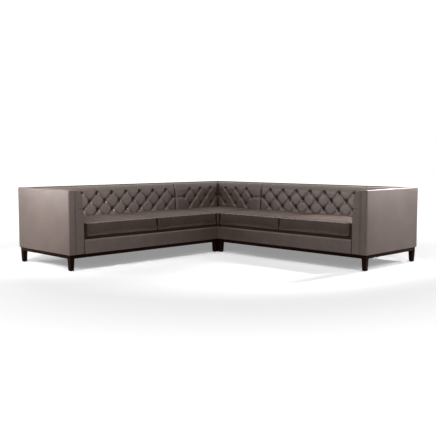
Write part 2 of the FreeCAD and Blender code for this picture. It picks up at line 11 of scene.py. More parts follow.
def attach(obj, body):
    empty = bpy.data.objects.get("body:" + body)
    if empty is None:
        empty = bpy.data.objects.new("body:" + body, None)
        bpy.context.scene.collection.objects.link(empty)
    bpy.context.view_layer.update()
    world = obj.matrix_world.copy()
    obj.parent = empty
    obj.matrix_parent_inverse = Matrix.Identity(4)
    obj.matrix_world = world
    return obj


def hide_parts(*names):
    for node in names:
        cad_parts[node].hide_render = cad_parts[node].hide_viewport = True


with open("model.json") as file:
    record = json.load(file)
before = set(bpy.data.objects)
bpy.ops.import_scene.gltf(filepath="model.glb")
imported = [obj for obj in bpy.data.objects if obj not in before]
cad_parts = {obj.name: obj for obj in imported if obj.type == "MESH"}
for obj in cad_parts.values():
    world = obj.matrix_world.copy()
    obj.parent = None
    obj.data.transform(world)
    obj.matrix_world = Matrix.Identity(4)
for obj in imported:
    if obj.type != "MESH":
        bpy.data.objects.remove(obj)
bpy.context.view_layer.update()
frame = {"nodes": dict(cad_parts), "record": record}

# Lengths are in metres. s runs along a branch from the outer corner, t runs forward from its back.
# The right branch lies along X, and the left branch is its mirror image across the line x = -y.
# armShell is where the arm's outer shell starts, and boardFace is how far in the pads' backs lie.
sofa = {
    "halfSide": 1.4585,
    "branchLength": 2.917,
    "moduleDepth": 0.940,
    "endStart": 0.941,
    "cornerEnd": 0.939,
    "height": 0.773,
    "upholsteryBottom": 0.155,
    "deckTop": 0.318,
    "shell": 0.058,
    "armShell": 2.859,
    "boardFace": 0.060,
    "touching": 0.001,
}


def place(s, t, z):
    return Vector((s - sofa["halfSide"], sofa["halfSide"] - t, z))


def meets(value, level):
    return abs(value - level) < sofa["touching"]


# Small helpers for working in edit mode

def onlySelect(piece):
    bpy.ops.object.select_all(action="DESELECT")
    piece.select_set(True)
    bpy.context.view_layer.objects.active = piece


def openMesh(piece, kind="VERT"):
    onlySelect(piece)
    bpy.ops.object.mode_set(mode="EDIT")
    bpy.ops.mesh.select_mode(type=kind)
    bpy.ops.mesh.select_all(action="DESELECT")


def closeMesh():
    bpy.ops.object.mode_set(mode="OBJECT")


def pick(piece, kind, test):
    # selects the edges or faces whose centre and direction pass the test
    bpy.ops.mesh.select_mode(type=kind)
    bpy.ops.mesh.select_all(action="DESELECT")
    mesh = bmesh.from_edit_mesh(piece.data)
    found = 0
    for part in mesh.edges if kind == "EDGE" else mesh.faces:
        if kind == "EDGE":
            a, b = part.verts[0].co, part.verts[1].co
            chosen = test((a + b) / 2, (b - a).normalized())
        else:
            chosen = test(part.calc_center_median(), part.normal)
        if chosen:
            part.select_set(True)
            found += 1
    mesh.select_flush_mode()
    bmesh.update_edit_mesh(piece.data)
    return found


def addBlock(name, low, high):
    # a cube at its size and place, with its object at the origin
    low, high = Vector(low), Vector(high)
    bpy.ops.object.select_all(action="DESELECT")
    bpy.ops.mesh.primitive_cube_add(size=1, location=(low + high) / 2)
    piece = bpy.context.object
    piece.name = name
    piece.scale = high - low
    bpy.ops.object.transform_apply(location=True, rotation=True, scale=True)
    return piece


def applyModifiers(piece):
    onlySelect(piece)
    for modifier in list(piece.modifiers):
        bpy.ops.object.modifier_apply(modifier=modifier.name)


def refine(piece):
    # one level of subdivision, made part of the mesh
    subdivision = piece.modifiers.new("smooth", "SUBSURF")
    subdivision.levels = 1
    subdivision.render_levels = 1
    applyModifiers(piece)


def bevelEdges(piece, test, width, segments=2):
    openMesh(piece, "EDGE")
    if pick(piece, "EDGE", test):
        bpy.ops.mesh.bevel(offset=width, segments=segments, affect="EDGES", clamp_overlap=True)
    closeMesh()


def smoothByAngle(piece, degrees=35):
    onlySelect(piece)
    bpy.ops.object.shade_smooth_by_angle(angle=math.radians(degrees))


def outwards(piece):
    openMesh(piece, "FACE")
    bpy.ops.mesh.select_all(action="SELECT")
    bpy.ops.mesh.remove_doubles(threshold=0.00001)
    bpy.ops.mesh.normals_make_consistent(inside=False)
    closeMesh()


acrossBranches = Matrix(((0, -1, 0, 0), (-1, 0, 0, 0), (0, 0, 1, 0), (0, 0, 0, 1)))


def mirrored(piece, name):
    # the same piece on the other branch, with its own mesh and its faces turned back outwards
    twin = piece.copy()
    twin.data = piece.data.copy()
    twin.name = name
    bpy.context.collection.objects.link(twin)
    twin.data.transform(acrossBranches)
    twin.data.flip_normals()
    return twin


def joinPieces(pieces, name):
    onlySelect(pieces[0])
    for piece in pieces[1:]:
        piece.select_set(True)
    bpy.ops.object.join()
    pieces[0].name = name
    return pieces[0]


def finishPiece(piece, body, material, nodes=()):
    piece.data.materials.clear()
    piece.data.materials.append(material)
    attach(piece, body)
    if nodes:
        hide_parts(*nodes)
    return piece


def finishBoth(piece, material, node):
    # the piece on the right branch and its mirrored twin on the left, both on the sofa's own body
    twin = mirrored(piece, piece.name.replace("right", "left").replace("Right", "Left"))
    finishPiece(twin, "sofa", material, [node.replace("right", "left")])
    finishPiece(piece, "sofa", material, [node])


# Shader groups that several materials share

def newGroup(name, inputs, outputs):
    group = bpy.data.node_groups.new(name, "ShaderNodeTree")
    for label, kind, value in inputs:
        socket = group.interface.new_socket(label, in_out="INPUT", socket_type=kind)
        socket.default_value = value
    for label, kind in outputs:
        group.interface.new_socket(label, in_out="OUTPUT", socket_type=kind)
    return group, group.nodes.new("NodeGroupInput"), group.nodes.new("NodeGroupOutput")


def mathNode(tree, operation, first, second=None, clamp=False):
    node = tree.nodes.new("ShaderNodeMath")
    node.operation = operation
    node.use_clamp = clamp
    for socket, value in zip(node.inputs, (first, second)):
        if value is None:
            continue
        if isinstance(value, (int, float)):
            socket.default_value = value
        else:
            tree.links.new(value, socket)
    return node.outputs[0]


def rangeNode(tree, value, fromLow, fromHigh, toLow, toHigh):
    node = tree.nodes.new("ShaderNodeMapRange")
    tree.links.new(value, node.inputs["Value"])
    labels = ("From Min", "From Max", "To Min", "To Max")
    for label, number in zip(labels, (fromLow, fromHigh, toLow, toHigh)):
        if isinstance(number, (int, float)):
            node.inputs[label].default_value = number
        else:
            tree.links.new(number, node.inputs[label])
    return node.outputs[0]


def mixColour(tree, share, first, second):
    node = tree.nodes.new("ShaderNodeMix")
    node.data_type = "RGBA"
    for socket, value in ((node.inputs[0], share), (node.inputs[6], first), (node.inputs[7], second)):
        if isinstance(value, (int, float)):
            socket.default_value = value
        elif isinstance(value, tuple):
            socket.default_value = value
        else:
            tree.links.new(value, socket)
    return node.outputs[2]


def noiseNode(tree, vector, scale, detail=3.0, roughness=0.5):
    node = tree.nodes.new("ShaderNodeTexNoise")
    tree.links.new(vector, node.inputs["Vector"])
    for label, value in (("Scale", scale), ("Detail", detail), ("Roughness", roughness)):
        if isinstance(value, (int, float)):
            node.inputs[label].default_value = value
        else:
            tree.links.new(value, node.inputs[label])
    return node.outputs["Fac"]


def grainGroup():
    # fine pebbles with painted shade between them, thin wrinkles and slow cloudy colour, for leather, zinc
    # and nylon alike
    group, given, result = newGroup(
        "grainedSurface",
        [
            ("Colour", "NodeSocketColor", (0.10, 0.08, 0.07, 1)),
            ("Deep Colour", "NodeSocketColor", (0.06, 0.045, 0.04, 1)),
            ("Grain Scale", "NodeSocketFloat", 620.0),
            ("Wrinkle Scale", "NodeSocketFloat", 60.0),
            ("Wrinkle Share", "NodeSocketFloat", 0.35),
            ("Roughness", "NodeSocketFloat", 0.42),
            ("Roughness Spread", "NodeSocketFloat", 0.10),
        ],
        [("Colour", "NodeSocketColor"), ("Roughness", "NodeSocketFloat"), ("Height", "NodeSocketFloat")],
    )
    spot = group.nodes.new("ShaderNodeTexCoord").outputs["Object"]
    cloud = noiseNode(group, spot, 5.0, 4.0, 0.55)
    mottle = noiseNode(group, spot, 55.0, 3.0, 0.6)
    pebble = group.nodes.new("ShaderNodeTexVoronoi")
    pebble.feature = "SMOOTH_F1"
    group.links.new(spot, pebble.inputs["Vector"])
    group.links.new(given.outputs["Grain Scale"], pebble.inputs["Scale"])
    pebble.inputs["Smoothness"].default_value = 0.6
    creases = noiseNode(group, spot, given.outputs["Wrinkle Scale"], 5.0, 0.65)
    lines = mathNode(group, "ABSOLUTE", mathNode(group, "SUBTRACT", creases, 0.5))
    lines = rangeNode(group, lines, 0.0, 0.05, 0.0, 1.0)
    share = mathNode(group, "MULTIPLY", lines, given.outputs["Wrinkle Share"])
    grain = rangeNode(group, pebble.outputs["Distance"], 0.0, 0.7, 1.0, 0.0)
    height = mathNode(group, "ADD", grain, share)
    broad = mathNode(group, "MULTIPLY", cloud, 0.6)
    narrow = mathNode(group, "MULTIPLY", mottle, 0.4)
    patch = mathNode(group, "ADD", broad, narrow)
    patch = rangeNode(group, patch, 0.36, 0.64, 0.0, 1.0)
    toned = mixColour(group, patch, given.outputs["Deep Colour"], given.outputs["Colour"])
    # painted shade: the colour is darkened to 82% in the low ground between the pebbles
    valley = rangeNode(group, grain, 0.0, 0.35, 0.82, 1.0)
    shaded = group.nodes.new("ShaderNodeVectorMath")
    shaded.operation = "SCALE"
    group.links.new(toned, shaded.inputs[0])
    group.links.new(valley, shaded.inputs["Scale"])
    low = mathNode(group, "SUBTRACT", given.outputs["Roughness"], given.outputs["Roughness Spread"])
    high = mathNode(group, "ADD", given.outputs["Roughness"], given.outputs["Roughness Spread"])
    rough = rangeNode(group, mottle, 0.3, 0.7, low, high)
    group.links.new(shaded.outputs[0], result.inputs["Colour"])
    group.links.new(rough, result.inputs["Roughness"])
    group.links.new(height, result.inputs["Height"])
    return group


def woodGroup():
    # long grain with darker pores, drawn along the axis that Stretch names
    group, given, result = newGroup(
        "woodSurface",
        [
            ("Colour", "NodeSocketColor", (0.02, 0.01, 0.008, 1)),
            ("Dark Colour", "NodeSocketColor", (0.01, 0.005, 0.004, 1)),
            ("Stretch", "NodeSocketVector", (1.0, 1.0, 0.08)),
            ("Ring Scale", "NodeSocketFloat", 40.0),
            ("Roughness", "NodeSocketFloat", 0.35),
        ],
        [("Colour", "NodeSocketColor"), ("Roughness", "NodeSocketFloat"), ("Height", "NodeSocketFloat")],
    )
    spot = group.nodes.new("ShaderNodeTexCoord").outputs["Object"]
    stretched = group.nodes.new("ShaderNodeVectorMath")
    stretched.operation = "MULTIPLY"
    group.links.new(spot, stretched.inputs[0])
    group.links.new(given.outputs["Stretch"], stretched.inputs[1])
    bend = noiseNode(group, stretched.outputs[0], 9.0, 3.0)
    rings = group.nodes.new("ShaderNodeTexWave")
    rings.wave_type = "RINGS"
    group.links.new(stretched.outputs[0], rings.inputs["Vector"])
    group.links.new(given.outputs["Ring Scale"], rings.inputs["Scale"])
    rings.inputs["Distortion"].default_value = 6.0
    rings.inputs["Detail"].default_value = 2.0
    pores = noiseNode(group, stretched.outputs[0], 420.0, 2.0, 0.7)
    pores = rangeNode(group, pores, 0.35, 0.6, 0.0, 1.0)
    figure = mathNode(group, "MULTIPLY", mathNode(group, "ADD", rings.outputs["Fac"], bend), 0.5)
    figure = mathNode(group, "MULTIPLY", figure, pores)
    colour = mixColour(group, figure, given.outputs["Dark Colour"], given.outputs["Colour"])
    rough = mathNode(group, "ADD", given.outputs["Roughness"], mathNode(group, "MULTIPLY", bend, 0.12))
    group.links.new(colour, result.inputs["Colour"])
    group.links.new(rough, result.inputs["Roughness"])
    group.links.new(pores, result.inputs["Height"])
    return group


def weaveGroup():
    # two sets of threads that pass over each other, with fuzz
    group, given, result = newGroup(
        "wovenSurface",
        [
            ("Colour", "NodeSocketColor", (0.05, 0.05, 0.05, 1)),
            ("Thread Colour", "NodeSocketColor", (0.08, 0.08, 0.08, 1)),
            ("Threads", "NodeSocketFloat", 500.0),
            ("Fuzz", "NodeSocketFloat", 0.3),
        ],
        [("Colour", "NodeSocketColor"), ("Height", "NodeSocketFloat")],
    )
    spot = group.nodes.new("ShaderNodeTexCoord").outputs["Object"]
    heights = []
    for direction in ("X", "Y", "Z"):
        wave = group.nodes.new("ShaderNodeTexWave")
        wave.wave_type = "BANDS"
        wave.bands_direction = direction
        group.links.new(spot, wave.inputs["Vector"])
        group.links.new(given.outputs["Threads"], wave.inputs["Scale"])
        wave.inputs["Distortion"].default_value = 0.6
        heights.append(wave.outputs["Fac"])
    woven = mathNode(group, "MULTIPLY", mathNode(group, "ADD", heights[0], heights[1]), heights[2])
    fluff = mathNode(group, "MULTIPLY", noiseNode(group, spot, 900.0, 2.0), given.outputs["Fuzz"])
    height = mathNode(group, "ADD", woven, fluff)
    share = mathNode(group, "MULTIPLY", height, 0.6, clamp=True)
    colour = mixColour(group, share, given.outputs["Colour"], given.outputs["Thread Colour"])
    group.links.new(colour, result.inputs["Colour"])
    group.links.new(height, result.inputs["Height"])
    return group


grainedSurface = grainGroup()
woodSurface = woodGroup()
wovenSurface = weaveGroup()


def srgb(red, green, blue):
    # a colour given as it looks on screen, 0 to 255
    parts = []
    for value in (red, green, blue):
        value /= 255
        parts.append(value / 12.92 if value <= 0.04045 else ((value + 0.055) / 1.055) ** 2.4)
    return (*parts, 1.0)


def newMaterial(name, surface, values, shader, bumpDistance, bumpStrength=1.0):
    material = bpy.data.materials.new(name)
    material.use_nodes = True
    tree = material.node_tree
    principled = tree.nodes["Principled BSDF"]
    node = tree.nodes.new("ShaderNodeGroup")
    node.node_tree = surface
    for label, value in values.items():
        node.inputs[label].default_value = value
    for label, value in shader.items():
        principled.inputs[label].default_value = value
    tree.links.new(node.outputs["Colour"], principled.inputs["Base Color"])
    if "Roughness" in node.outputs:
        tree.links.new(node.outputs["Roughness"], principled.inputs["Roughness"])
    bump = tree.nodes.new("ShaderNodeBump")
    bump.inputs["Strength"].default_value = bumpStrength
    bump.inputs["Distance"].default_value = bumpDistance
    tree.links.new(node.outputs["Height"], bump.inputs["Height"])
    tree.links.new(bump.outputs["Normal"], principled.inputs["Normal"])
    return material


leatherTone = {
    "colour": srgb(100, 83, 76),
    "deepColour": srgb(87, 71, 64),
    "grainScale": 620.0,
    "roughness": 0.40,
}


def leather(name, grain=1.0, wrinkle=0.35, roughness=0.0, specular=0.5, depth=1.0):
    return newMaterial(
        name,
        grainedSurface,
        {
            "Colour": (*[part * depth for part in leatherTone["colour"][:3]], 1.0),
            "Deep Colour": (*[part * depth for part in leatherTone["deepColour"][:3]], 1.0),
            "Grain Scale": leatherTone["grainScale"] * grain,
            "Wrinkle Share": wrinkle,
            "Roughness": leatherTone["roughness"] + roughness,
        },
        {"Specular IOR Level": specular},
        0.0003,
        0.45,
    )


coverLeather = leather("coverLeather")
# the cushions use a darker copy of the same leather (colour times 0.78): painted shade on the seats
paintedShadeCushionLeather = leather("paintedShadeCushionLeather", 1.0, 0.5, 0.08, 0.15, 0.78)
# the welt uses a lighter, glossier copy of the same leather (colour times 1.2): its lighter colour is a
# painted highlight along the cushions' top edges
weltLeather = leather("weltLeather", 1.0, 0.2, -0.14, 1.0, 1.2)
tuftedLeather = leather("tuftedLeather", 1.0, 0.6, 0.0, 0.7, 0.96)
buttonLeather = leather("buttonLeather", 1.2, 0.2, 0.04, 0.3)

espressoWood = newMaterial(
    "espressoWood",
    woodSurface,
    {
        "Colour": srgb(40, 14, 9),
        "Dark Colour": srgb(24, 7, 4),
        "Stretch": (1.0, 1.0, 0.08),
        "Roughness": 0.50,
    },
    {"Specular IOR Level": 0.04},
    0.0002,
    0.4,
)
frameTimber = newMaterial(
    "frameTimber",
    woodSurface,
    {
        "Colour": srgb(206, 170, 122),
        "Dark Colour": srgb(164, 122, 78),
        "Stretch": (0.2, 0.2, 1.0),
        "Roughness": 0.62,
    },
    {"Specular IOR Level": 0.3},
    0.0004,
    0.5,
)
zincSteel = newMaterial(
    "zincSteel",
    grainedSurface,
    {
        "Colour": srgb(178, 180, 182),
        "Deep Colour": srgb(150, 152, 156),
        "Grain Scale": 1500.0,
        "Roughness": 0.34,
        "Roughness Spread": 0.08,
    },
    {"Metallic": 1.0},
    0.0001,
    0.2,
)
glidePlastic = newMaterial(
    "glidePlastic",
    grainedSurface,
    {
        "Colour": srgb(38, 37, 36),
        "Deep Colour": srgb(28, 27, 27),
        "Grain Scale": 1800.0,
        "Roughness": 0.5,
    },
    {"Specular IOR Level": 0.4},
    0.0001,
    0.3,
)
strapWeb = newMaterial(
    "strapWeb",
    wovenSurface,
    {"Colour": srgb(62, 54, 46), "Thread Colour": srgb(128, 112, 92), "Threads": 180.0},
    {"Roughness": 0.85, "Specular IOR Level": 0.2},
    0.0005,
)
deckFelt = newMaterial(
    "deckFelt",
    wovenSurface,
    {"Colour": srgb(58, 50, 46), "Thread Colour": srgb(84, 74, 68), "Threads": 420.0, "Fuzz": 0.8},
    {"Roughness": 0.92, "Specular IOR Level": 0.15},
    0.0005,
)
dustCloth = newMaterial(
    "dustCloth",
    wovenSurface,
    {"Colour": srgb(22, 22, 23), "Thread Colour": srgb(44, 44, 46), "Threads": 600.0},
    {"Roughness": 0.9, "Specular IOR Level": 0.15},
    0.0003,
)

cadFinish = {
    "frame_timber": frameTimber,
    "zinc_steel": zincSteel,
    "glide_plastic": glidePlastic,
    "webbing": strapWeb,
    "deck_felt": deckFelt,
    "dust_cloth": dustCloth,
    "button_leather": buttonLeather,
    "espresso_wood": espressoWood,
    "cover_leather": coverLeather,
    "cushion_leather": paintedShadeCushionLeather,
}
for nodeFacts in frame["record"]["subparts"]:
    cadPiece = frame["nodes"].get(nodeFacts["node"])
    finish = cadFinish.get(nodeFacts["material_slot"])
    if cadPiece and finish:
        for socket in cadPiece.material_slots:
            socket.material = finish
print("materials made")


# Soft forms

cushionCloth = {
    "steps": 20,
    "pressure": 4.0,
    "cap": 0.010,
    "shrink": -0.01,
    "tension": 12.0,
    "bending": 1.2,
    "mass": 0.25,
    "quality": 5,
    "pinnedHeight": 0.004,
}


def pressCloth(piece, held):
    # lets the air in the piece swell its skin, then keeps each point within cap of where it started
    onlySelect(piece)
    rest = np.empty(len(piece.data.vertices) * 3)
    piece.data.vertices.foreach_get("co", rest)
    rest = rest.reshape(-1, 3)
    pinned = piece.vertex_groups.new(name="pinned")
    pinned.add([int(number) for number in np.nonzero(held)[0]], 1.0, "REPLACE")
    cloth = piece.modifiers.new("Cloth", "CLOTH")
    skin = cloth.settings
    skin.quality = cushionCloth["quality"]
    skin.mass = cushionCloth["mass"]
    skin.tension_stiffness = cushionCloth["tension"]
    skin.compression_stiffness = cushionCloth["tension"]
    skin.shear_stiffness = cushionCloth["tension"] / 3
    skin.bending_stiffness = cushionCloth["bending"]
    skin.shrink_min = cushionCloth["shrink"]
    skin.use_pressure = True
    skin.uniform_pressure_force = cushionCloth["pressure"]
    skin.effector_weights.gravity = 0
    skin.vertex_group_mass = "pinned"
    cloth.collision_settings.use_collision = False
    cloth.point_cache.frame_start = 1
    cloth.point_cache.frame_end = cushionCloth["steps"]
    for step in range(1, cushionCloth["steps"] + 1):
        bpy.context.scene.frame_set(step)
    swollen = piece.evaluated_get(bpy.context.evaluated_depsgraph_get()).to_mesh()
    moved = np.empty(len(swollen.vertices) * 3)
    swollen.vertices.foreach_get("co", moved)
    moved = moved.reshape(-1, 3) - rest
    reach = np.linalg.norm(moved, axis=1, keepdims=True)
    moved *= np.minimum(1.0, cushionCloth["cap"] / np.maximum(reach, 1e-9))
    piece.evaluated_get(bpy.context.evaluated_depsgraph_get()).to_mesh_clear()
    piece.modifiers.remove(cloth)
    piece.vertex_groups.remove(pinned)
    bpy.context.scene.frame_set(1)
    piece.data.vertices.foreach_set("co", (rest + moved).ravel())
    piece.data.update()


padShape = {
    "leanStart": 0.450,
    "rollStart": 0.674,
    "top": 0.765,
    "lean": 0.014,
    "roll": 0.059,
    "rows": (0.690, 0.5965, 0.503, 0.4095),
    "creaseDepth": 0.0105,
    "tuftDepth": 0.039,
    "pitRadius": 0.0165,
    "pillowReach": 0.032,
    "step": 0.0078,
    "rollSteps": 24,
    "topDrop": 0.003,
    "slopeSpan": 0.012,
    "topCrease": 0.020,
    "startRadius": 0.032,
    "edgeMost": 0.026,
}


def padProfile(faceDepth, backDepth):
    # the pad's section as points of (depth, height), from the seat up over the roll to the back of the top
    points = [(0.0, sofa["deckTop"]), (0.0, padShape["leanStart"]), (padShape["lean"], padShape["rollStart"])]
    rise = padShape["top"] - padShape["rollStart"]
    for part in range(1, padShape["rollSteps"] + 1):
        angle = math.pi / 2 * part / padShape["rollSteps"]
        setback = padShape["lean"] + padShape["roll"] * (1 - math.cos(angle))
        points.append((setback, padShape["rollStart"] + rise * math.sin(angle)))
    points.append((faceDepth - backDepth - padShape["topDrop"], padShape["top"]))
    line = np.array([(faceDepth - setback, z) for setback, z in points])
    lengths = np.concatenate(([0], np.cumsum(np.linalg.norm(np.diff(line, axis=0), axis=1))))
    return line, lengths


def creaseLines(tufts, rows, start, end, topLine, bottomLine):
    # each crease: its two ends along and up the pad, and how deep it is at each end
    creases = []
    spots = []
    for number, along in enumerate(tufts):
        for row in ((1, 3) if number % 2 == 0 else (0, 2)):
            spots.append((along, rows[row]))
            for step in (-1, 1):
                if number + 1 < len(tufts) and 0 <= row + step < 4:
                    creases.append(((along, rows[row]), (tufts[number + 1], rows[row + step]), 1.0, 1.0))
        if number % 2:
            creases.append(((along, rows[0]), (along, topLine), 1.1, 0.25))
        else:
            creases.append(((along, rows[3]), (along, bottomLine), 1.0, 0.6))
    for number, edge in ((0, start), (len(tufts) - 1, end)):
        for row in ((1, 3) if number % 2 == 0 else (0, 2)):
            creases.append(((tufts[number], rows[row]), (edge, rows[row]), 0.75, 0.45))
    return creases, spots


def pillowHeights(along, up, creases, spots, seed):
    # how far each point lies behind the crest of the pad
    picker = random.Random(seed)
    height = np.ones_like(along)
    fold = np.zeros_like(along)
    reach = padShape["pillowReach"]
    for (a0, b0), (a1, b1), first, last in creases:
        da, db = a1 - a0, b1 - b0
        size = math.hypot(da, db)
        part = np.clip(((along - a0) * da + (up - b0) * db) / size**2, 0, 1)
        offA, offB = along - a0 - part * da, up - b0 - part * db
        away = np.hypot(offA, offB)
        amount = (first + (last - first) * part) * picker.uniform(0.93, 1.07)
        if last == 1.0:
            amount *= 0.72 + 0.5 * np.abs(2 * part - 1) ** 1.6
        share = np.clip(away / reach, 0, 1)
        valley = (1 - (1 - share) ** 2) ** 0.8
        height *= 1 - np.clip(amount, 0, 1) * (1 - valley)
        side = np.sign(da or 1) * np.sign(offB * da - offA * db)
        lip = np.exp(-(((away - 0.010) / 0.006) ** 2)) * np.sin(np.pi * part) * amount
        fold += lip * np.where(side > 0, 0.0016, 0.0005)
    pit = np.zeros_like(along)
    wrinkle = np.zeros_like(along)
    for a, b in spots:
        away = np.hypot(along - a, up - b)
        turn = np.arctan2(up - b, along - a)
        pit = np.maximum(pit, 1 / (1 + (away / padShape["pitRadius"]) ** 5))
        phase = picker.uniform(0, 2 * math.pi)
        count = picker.choice((7, 9, 11))
        ring = np.exp(-(((away - 0.028) / 0.014) ** 2))
        wrinkle += 0.0009 * np.cos(turn * count + phase) * ring
    depth = padShape["creaseDepth"] * (1 - height) + (padShape["tuftDepth"] - padShape["creaseDepth"]) * pit
    return depth - fold - wrinkle


def edgeDraw(distance, radius, most):
    # how far a surface falls away near an edge, as a quarter round
    near = np.clip(1 - distance / radius, 0, 1)
    return np.minimum(radius * (1 - np.sqrt(np.clip(1 - near**2, 0, 1))), most)


def tuftedPad(name, facts, toWorld):
    line, lengths = padProfile(facts["face"], facts["back"])
    start, end = facts["start"], facts["end"]
    acrossCount = round((end - start) / padShape["step"])
    upCount = round(lengths[-1] / padShape["step"])
    bpy.ops.object.select_all(action="DESELECT")
    bpy.ops.mesh.primitive_grid_add(x_subdivisions=acrossCount, y_subdivisions=upCount, size=1)
    piece = bpy.context.object
    piece.name = name
    spots = np.empty(len(piece.data.vertices) * 3)
    piece.data.vertices.foreach_get("co", spots)
    spots = spots.reshape(-1, 3) + 0.5
    along = start + (end - start) * spots[:, 0]
    up = lengths[-1] * spots[:, 1]
    depth = np.interp(up, lengths, line[:, 0])
    height = np.interp(up, lengths, line[:, 1])
    ahead = np.minimum(up + padShape["slopeSpan"], lengths[-1])
    behind = np.maximum(up - padShape["slopeSpan"], 0)
    slopeDepth = np.interp(ahead, lengths, line[:, 0]) - np.interp(behind, lengths, line[:, 0])
    slopeHeight = np.interp(ahead, lengths, line[:, 1]) - np.interp(behind, lengths, line[:, 1])
    size = np.hypot(slopeDepth, slopeHeight)
    inDepth, inHeight = -slopeHeight / size, slopeDepth / size
    rows = [float(np.interp(z, line[:-1, 1], lengths[:-1])) for z in padShape["rows"]]
    topLine = float(lengths[-2]) + padShape["topCrease"]
    tufts = [facts["first"] + number * facts["pitch"] / 2 for number in range(facts["count"])]
    creases, pins = creaseLines(tufts, rows, start, facts["tuftEnd"], topLine, 0.0)
    sunk = pillowHeights(along, up, creases, pins, facts["seed"])
    mitreEdge = along - depth if facts["mitre"] else along - start
    atStart = edgeDraw(mitreEdge, padShape["startRadius"], padShape["edgeMost"])
    sunk += atStart + edgeDraw(end - along, facts["endRadius"], padShape["edgeMost"])
    sunk *= np.interp(up, [0, lengths[-2] + 0.01, lengths[-1]], [1, 1, 0.1])
    world = toWorld(along, depth + inDepth * sunk, height + inHeight * sunk)
    piece.data.vertices.foreach_set("co", world.ravel())
    piece.data.update()
    refine(piece)
    return piece


def closePad(piece, axis, plane):
    # the open border goes straight back to the boards, and a plain face closes it there
    openMesh(piece, "EDGE")
    bpy.ops.mesh.select_non_manifold(extend=False, use_wire=False, use_boundary=True)
    bpy.ops.mesh.extrude_edges_move()
    flat = [1.0, 1.0, 1.0]
    flat[axis] = 0.0
    centre = [0.0, 0.0, 0.0]
    centre[axis] = plane
    bpy.ops.transform.resize(value=flat, center_override=centre)
    bpy.ops.mesh.edge_face_add()
    closeMesh()


def backToWorld(along, depth, height):
    return np.stack((along - sofa["halfSide"], sofa["halfSide"] - depth, height), axis=1)


def armToWorld(along, depth, height):
    x = sofa["branchLength"] - depth - sofa["halfSide"]
    return np.stack((x, sofa["halfSide"] - along, height), axis=1)


# face and back are depths from the outer face; tuftEnd is where the last creases stop
endPadFacts = {
    "face": 0.227,
    "back": sofa["boardFace"],
    "start": sofa["endStart"],
    "end": 2.858,
    "tuftEnd": 2.744,
    "first": 0.990,
    "pitch": 0.198,
    "count": 18,
    "mitre": False,
    "endRadius": 0.012,
    "seed": 11,
}
cornerPadFacts = {
    "face": 0.227,
    "back": sofa["boardFace"],
    "start": 0.040,
    "end": sofa["cornerEnd"],
    "tuftEnd": sofa["cornerEnd"],
    "first": 0.246,
    "pitch": 0.1814,
    "count": 7,
    "mitre": True,
    "endRadius": 0.032,
    "seed": 23,
    "mitreGap": 0.001,
}
armPadFacts = {
    "face": 0.172,
    "back": sofa["boardFace"],
    "start": 0.160,
    "end": 0.925,
    "tuftEnd": 0.925,
    "first": 0.317,
    "pitch": 0.181,
    "count": 7,
    "mitre": False,
    "endRadius": 0.012,
    "seed": 37,
    "backPlane": 0.059,
}


def cutAtMitre(piece, gap):
    # keeps what lies on the right branch's side of the plane through both corners
    openMesh(piece, "FACE")
    bpy.ops.mesh.select_all(action="SELECT")
    bpy.ops.mesh.bisect(
        plane_co=(gap - sofa["halfSide"], sofa["halfSide"], 0),
        plane_no=(1, 1, 0),
        clear_inner=True,
        use_fill=True,
    )
    closeMesh()


def makeTuftedPads():
    backPlane = sofa["halfSide"] - sofa["boardFace"]
    pad = tuftedPad("rightInsideBackPad", endPadFacts, backToWorld)
    closePad(pad, 1, backPlane)
    corner = tuftedPad("cornerRightBackPad", cornerPadFacts, backToWorld)
    closePad(corner, 1, backPlane)
    cutAtMitre(corner, cornerPadFacts["mitreGap"])
    arm = tuftedPad("rightInsideArmPad", armPadFacts, armToWorld)
    closePad(arm, 0, sofa["branchLength"] - armPadFacts["backPlane"] - sofa["halfSide"])
    nodes = ("right_inside_back_pad", "corner_right_back_pad", "right_inside_arm_pad")
    for piece, node in zip((pad, corner, arm), nodes):
        outwards(piece)
        smoothByAngle(piece, 60)
        finishBoth(piece, tuftedLeather, node)
        print("tufted pad:", piece.name, len(piece.data.polygons), "faces")


makeTuftedPads()


# Seat cushions

cushionShape = {
    "bottom": sofa["deckTop"],
    "height": 0.128,
    "crown": 0.012,
    "topRadius": 0.009,
    "bottomRadius": 0.010,
    "welt": 0.0048,
    "cuts": 46,
    "drawIn": 0.004,
    "sideSwell": 0.003,
    "weltLift": 0.0012,
    "back": 0.235,
    "front": 0.925,
    "seam": 0.938,
    "corner": 0.018,
    "armCorner": 0.045,
}


def roundedPlan(x, y, low, high, radii):
    # turns a rectangle's corners into quarter rounds; each of radii names its corner and its radius
    for cornerX, cornerY, radius in radii:
        signX = 1 if cornerX == "high" else -1
        signY = 1 if cornerY == "high" else -1
        centreX = (high[0] - radius) if signX > 0 else (low[0] + radius)
        centreY = (high[1] - radius) if signY > 0 else (low[1] + radius)
        qx = (x - centreX) * signX / radius
        qy = (y - centreY) * signY / radius
        inside = (qx > 0) & (qy > 0)
        size = np.hypot(qx, qy)
        scale = np.where(inside, np.maximum(qx, qy) / np.maximum(size, 1e-9), 1.0)
        x = np.where(inside, centreX + signX * radius * qx * scale, x)
        y = np.where(inside, centreY + signY * radius * qy * scale, y)
    return x, y


